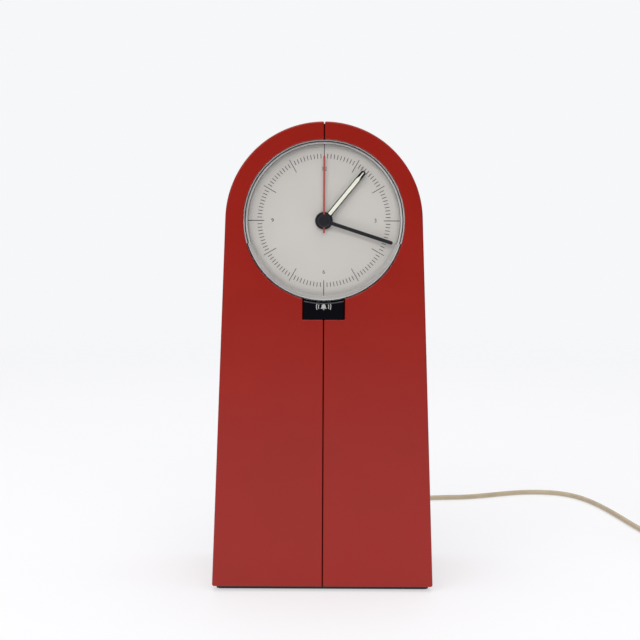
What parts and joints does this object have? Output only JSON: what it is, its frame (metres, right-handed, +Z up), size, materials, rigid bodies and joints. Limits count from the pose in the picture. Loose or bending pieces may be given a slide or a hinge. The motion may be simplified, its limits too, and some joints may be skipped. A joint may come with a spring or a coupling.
{
  "type": "bedside radio alarm clock",
  "caption": "Tall arched bedside radio alarm clock: two tapered half shells round a white dial, an alarm button under it, controls and a grille behind, and a thin lead to a plug-in adapter.",
  "frame": {"origin": "on the table, under the middle of the clock without its cord", "axes": "+Z up, -Y the way the dial faces, +X to the right of someone looking at the dial"},
  "size_m": [0.2587, 0.1977, 0.193],
  "materials": {
    "red_case": "satin moulded plastic, very fine texture",
    "rear_black": "fine spark-eroded texture",
    "base_black": "matt",
    "foot_rubber": "matt",
    "frame_black": "matt",
    "dial_white": "matt printed sheet",
    "clear_lens": "polished clear acrylic",
    "gasket_black": "matt",
    "hand_black": "satin",
    "hand_red": "satin",
    "lume": "powdery",
    "cap_black": "satin gloss",
    "movement_plastic": "satin",
    "wheel_plastic": "natural acetal",
    "wheel_red": "coloured acetal",
    "wheel_brass": "turned",
    "rotor_magnet": "sintered magnet",
    "soft_iron": "rolled sheet",
    "copper_wire": "enamelled wire",
    "board_green": "solder resist",
    "board_brown": "paper laminate",
    "knob_grey": "satin",
    "knob_red": "satin",
    "cell_wrap": "gloss",
    "plated_steel": "zinc plated",
    "button_black": "satin gloss",
    "switch_grey": "satin",
    "part_cans": "drawn",
    "ferrite": "sintered",
    "cone_paper": "pressed paper",
    "cord_pvc": "smooth aged vinyl",
    "adapter_black": "fine texture",
    "pin_nickel": "nickel plated"
  },
  "bodies": {
    "case": {"left_shell": "red_case", "right_shell": "red_case", "rear_panel": "rear_black", "base_plate": "base_black", "rubber_feet": "foot_rubber", "dial_frame": "frame_black", "dial_plate": "dial_white", "lens": "clear_lens", "lens_gasket": "gasket_black", "movement_front": "movement_plastic", "middle_plate": "movement_plastic", "movement_back": "movement_plastic", "stator": "soft_iron", "coil_core": "soft_iron", "drive_coil": "copper_wire", "quartz_board": "board_green", "clock_cell": "cell_wrap", "cell_contacts": "plated_steel", "button_spring": "plated_steel", "alarm_switch": "switch_grey", "radio_board": "board_brown", "board_parts": "part_cans", "tuning_capacitor": "switch_grey", "volume_control": "part_cans", "function_switch": "part_cans", "ferrite_rod": "ferrite", "aerial_coil": "copper_wire", "speaker_frame": "soft_iron", "speaker_magnet": "ferrite", "speaker_cone": "cone_paper", "screws": "plated_steel", "strain_relief": "rear_black", "power_cord": "cord_pvc", "cord_coil": "cord_pvc", "cord_tie": "frame_black", "adapter_case": "adapter_black", "adapter_pins": "pin_nickel"},
    "minute_train": {"minute_hand": "hand_black", "centre_cap": "cap_black", "cannon_pinion": "wheel_brass"},
    "hour_train": {"hour_hand": "hand_black", "hour_lume": "lume", "hour_wheel": "wheel_plastic"},
    "alarm_train": {"alarm_hand_hub": "hand_black", "alarm_hand": "hand_red", "alarm_wheel": "wheel_red"},
    "minute_wheel": {"minute_wheel": "wheel_plastic"},
    "time_setter": {"time_shaft": "wheel_plastic", "time_knob": "knob_grey"},
    "alarm_setter": {"alarm_shaft": "wheel_red", "alarm_knob": "knob_red"},
    "rotor": {"rotor": "rotor_magnet"},
    "intermediate_wheel": {"intermediate_wheel": "wheel_plastic"},
    "third_wheel": {"third_wheel": "wheel_plastic"},
    "centre_wheel": {"centre_wheel": "wheel_brass"},
    "alarm_button": {"alarm_button": "button_black"},
    "tuning_knob": {"tuning_knob": "knob_grey"},
    "volume_knob": {"volume_knob": "knob_grey"},
    "function_slider": {"function_slider": "knob_grey"},
    "battery_door": {"battery_door": "rear_black"}
  },
  "joints": [
    {"name": "minute_turn", "type": "hinge", "parent": "case", "child": "minute_train", "pos_m": [0, -0.02, 0.153], "axis": [0, 1, 0], "continuous": true},
    {"name": "hour_turn", "type": "hinge", "parent": "case", "child": "hour_train", "pos_m": [0, -0.02, 0.153], "axis": [0, 1, 0], "continuous": true},
    {"name": "minute_wheel_turn", "type": "hinge", "parent": "case", "child": "minute_wheel", "pos_m": [0.00677, -0.02, 0.15546], "axis": [0, 1, 0], "continuous": true},
    {"name": "time_setter_turn", "type": "hinge", "parent": "case", "child": "time_setter", "pos_m": [0.01353, -0.02, 0.15793], "axis": [0, 1, 0], "continuous": true},
    {"name": "alarm_turn", "type": "hinge", "parent": "case", "child": "alarm_train", "pos_m": [0, -0.02, 0.153], "axis": [0, 1, 0], "continuous": true},
    {"name": "alarm_setter_turn", "type": "hinge", "parent": "case", "child": "alarm_setter", "pos_m": [-0.01353, -0.02, 0.15793], "axis": [0, 1, 0], "continuous": true},
    {"name": "rotor_turn", "type": "hinge", "parent": "case", "child": "rotor", "pos_m": [0.00033, -0.02, 0.13356], "axis": [0, 1, 0], "continuous": true},
    {"name": "intermediate_turn", "type": "hinge", "parent": "case", "child": "intermediate_wheel", "pos_m": [0.00033, -0.02, 0.13956], "axis": [0, 1, 0], "continuous": true},
    {"name": "third_turn", "type": "hinge", "parent": "case", "child": "third_wheel", "pos_m": [-0.00287, -0.02, 0.14511], "axis": [0, 1, 0], "continuous": true},
    {"name": "centre_turn", "type": "hinge", "parent": "case", "child": "centre_wheel", "pos_m": [0, -0.02, 0.153], "axis": [0, 1, 0], "continuous": true},
    {"name": "alarm_press", "type": "slide", "parent": "case", "child": "alarm_button", "axis": [0, 1, 0], "range_m": [0, 0.002], "stiffness_N_per_m": 300, "springref_m": -0.003, "deforming": ["button_spring"]},
    {"name": "tuning_turn", "type": "hinge", "parent": "case", "child": "tuning_knob", "pos_m": [-0.019, 0.028, 0.101], "axis": [0, 1, 0], "range_deg": [0, 180]},
    {"name": "volume_turn", "type": "hinge", "parent": "case", "child": "volume_knob", "pos_m": [0.019, 0.028, 0.101], "axis": [0, 1, 0], "range_deg": [0, 270]},
    {"name": "function_slide", "type": "slide", "parent": "case", "child": "function_slider", "axis": [1, 0, 0], "range_m": [0, 0.0062]},
    {"name": "battery_door_swing", "type": "hinge", "parent": "case", "child": "battery_door", "pos_m": [0, 0.0304, 0.1183], "axis": [-1, 0, 0], "range_deg": [0, 85]}
  ],
  "couplings": [
    {"joint": "hour_turn", "follows": "minute_turn", "ratio": 0.083333},
    {"joint": "minute_wheel_turn", "follows": "minute_turn", "ratio": -0.33333},
    {"joint": "time_setter_turn", "follows": "minute_turn", "ratio": 1},
    {"joint": "alarm_setter_turn", "follows": "alarm_turn", "ratio": -1.6667},
    {"joint": "intermediate_turn", "follows": "rotor_turn", "ratio": -0.2},
    {"joint": "third_turn", "follows": "rotor_turn", "ratio": 0.05},
    {"joint": "centre_turn", "follows": "rotor_turn", "ratio": -0.0083333}
  ]
}
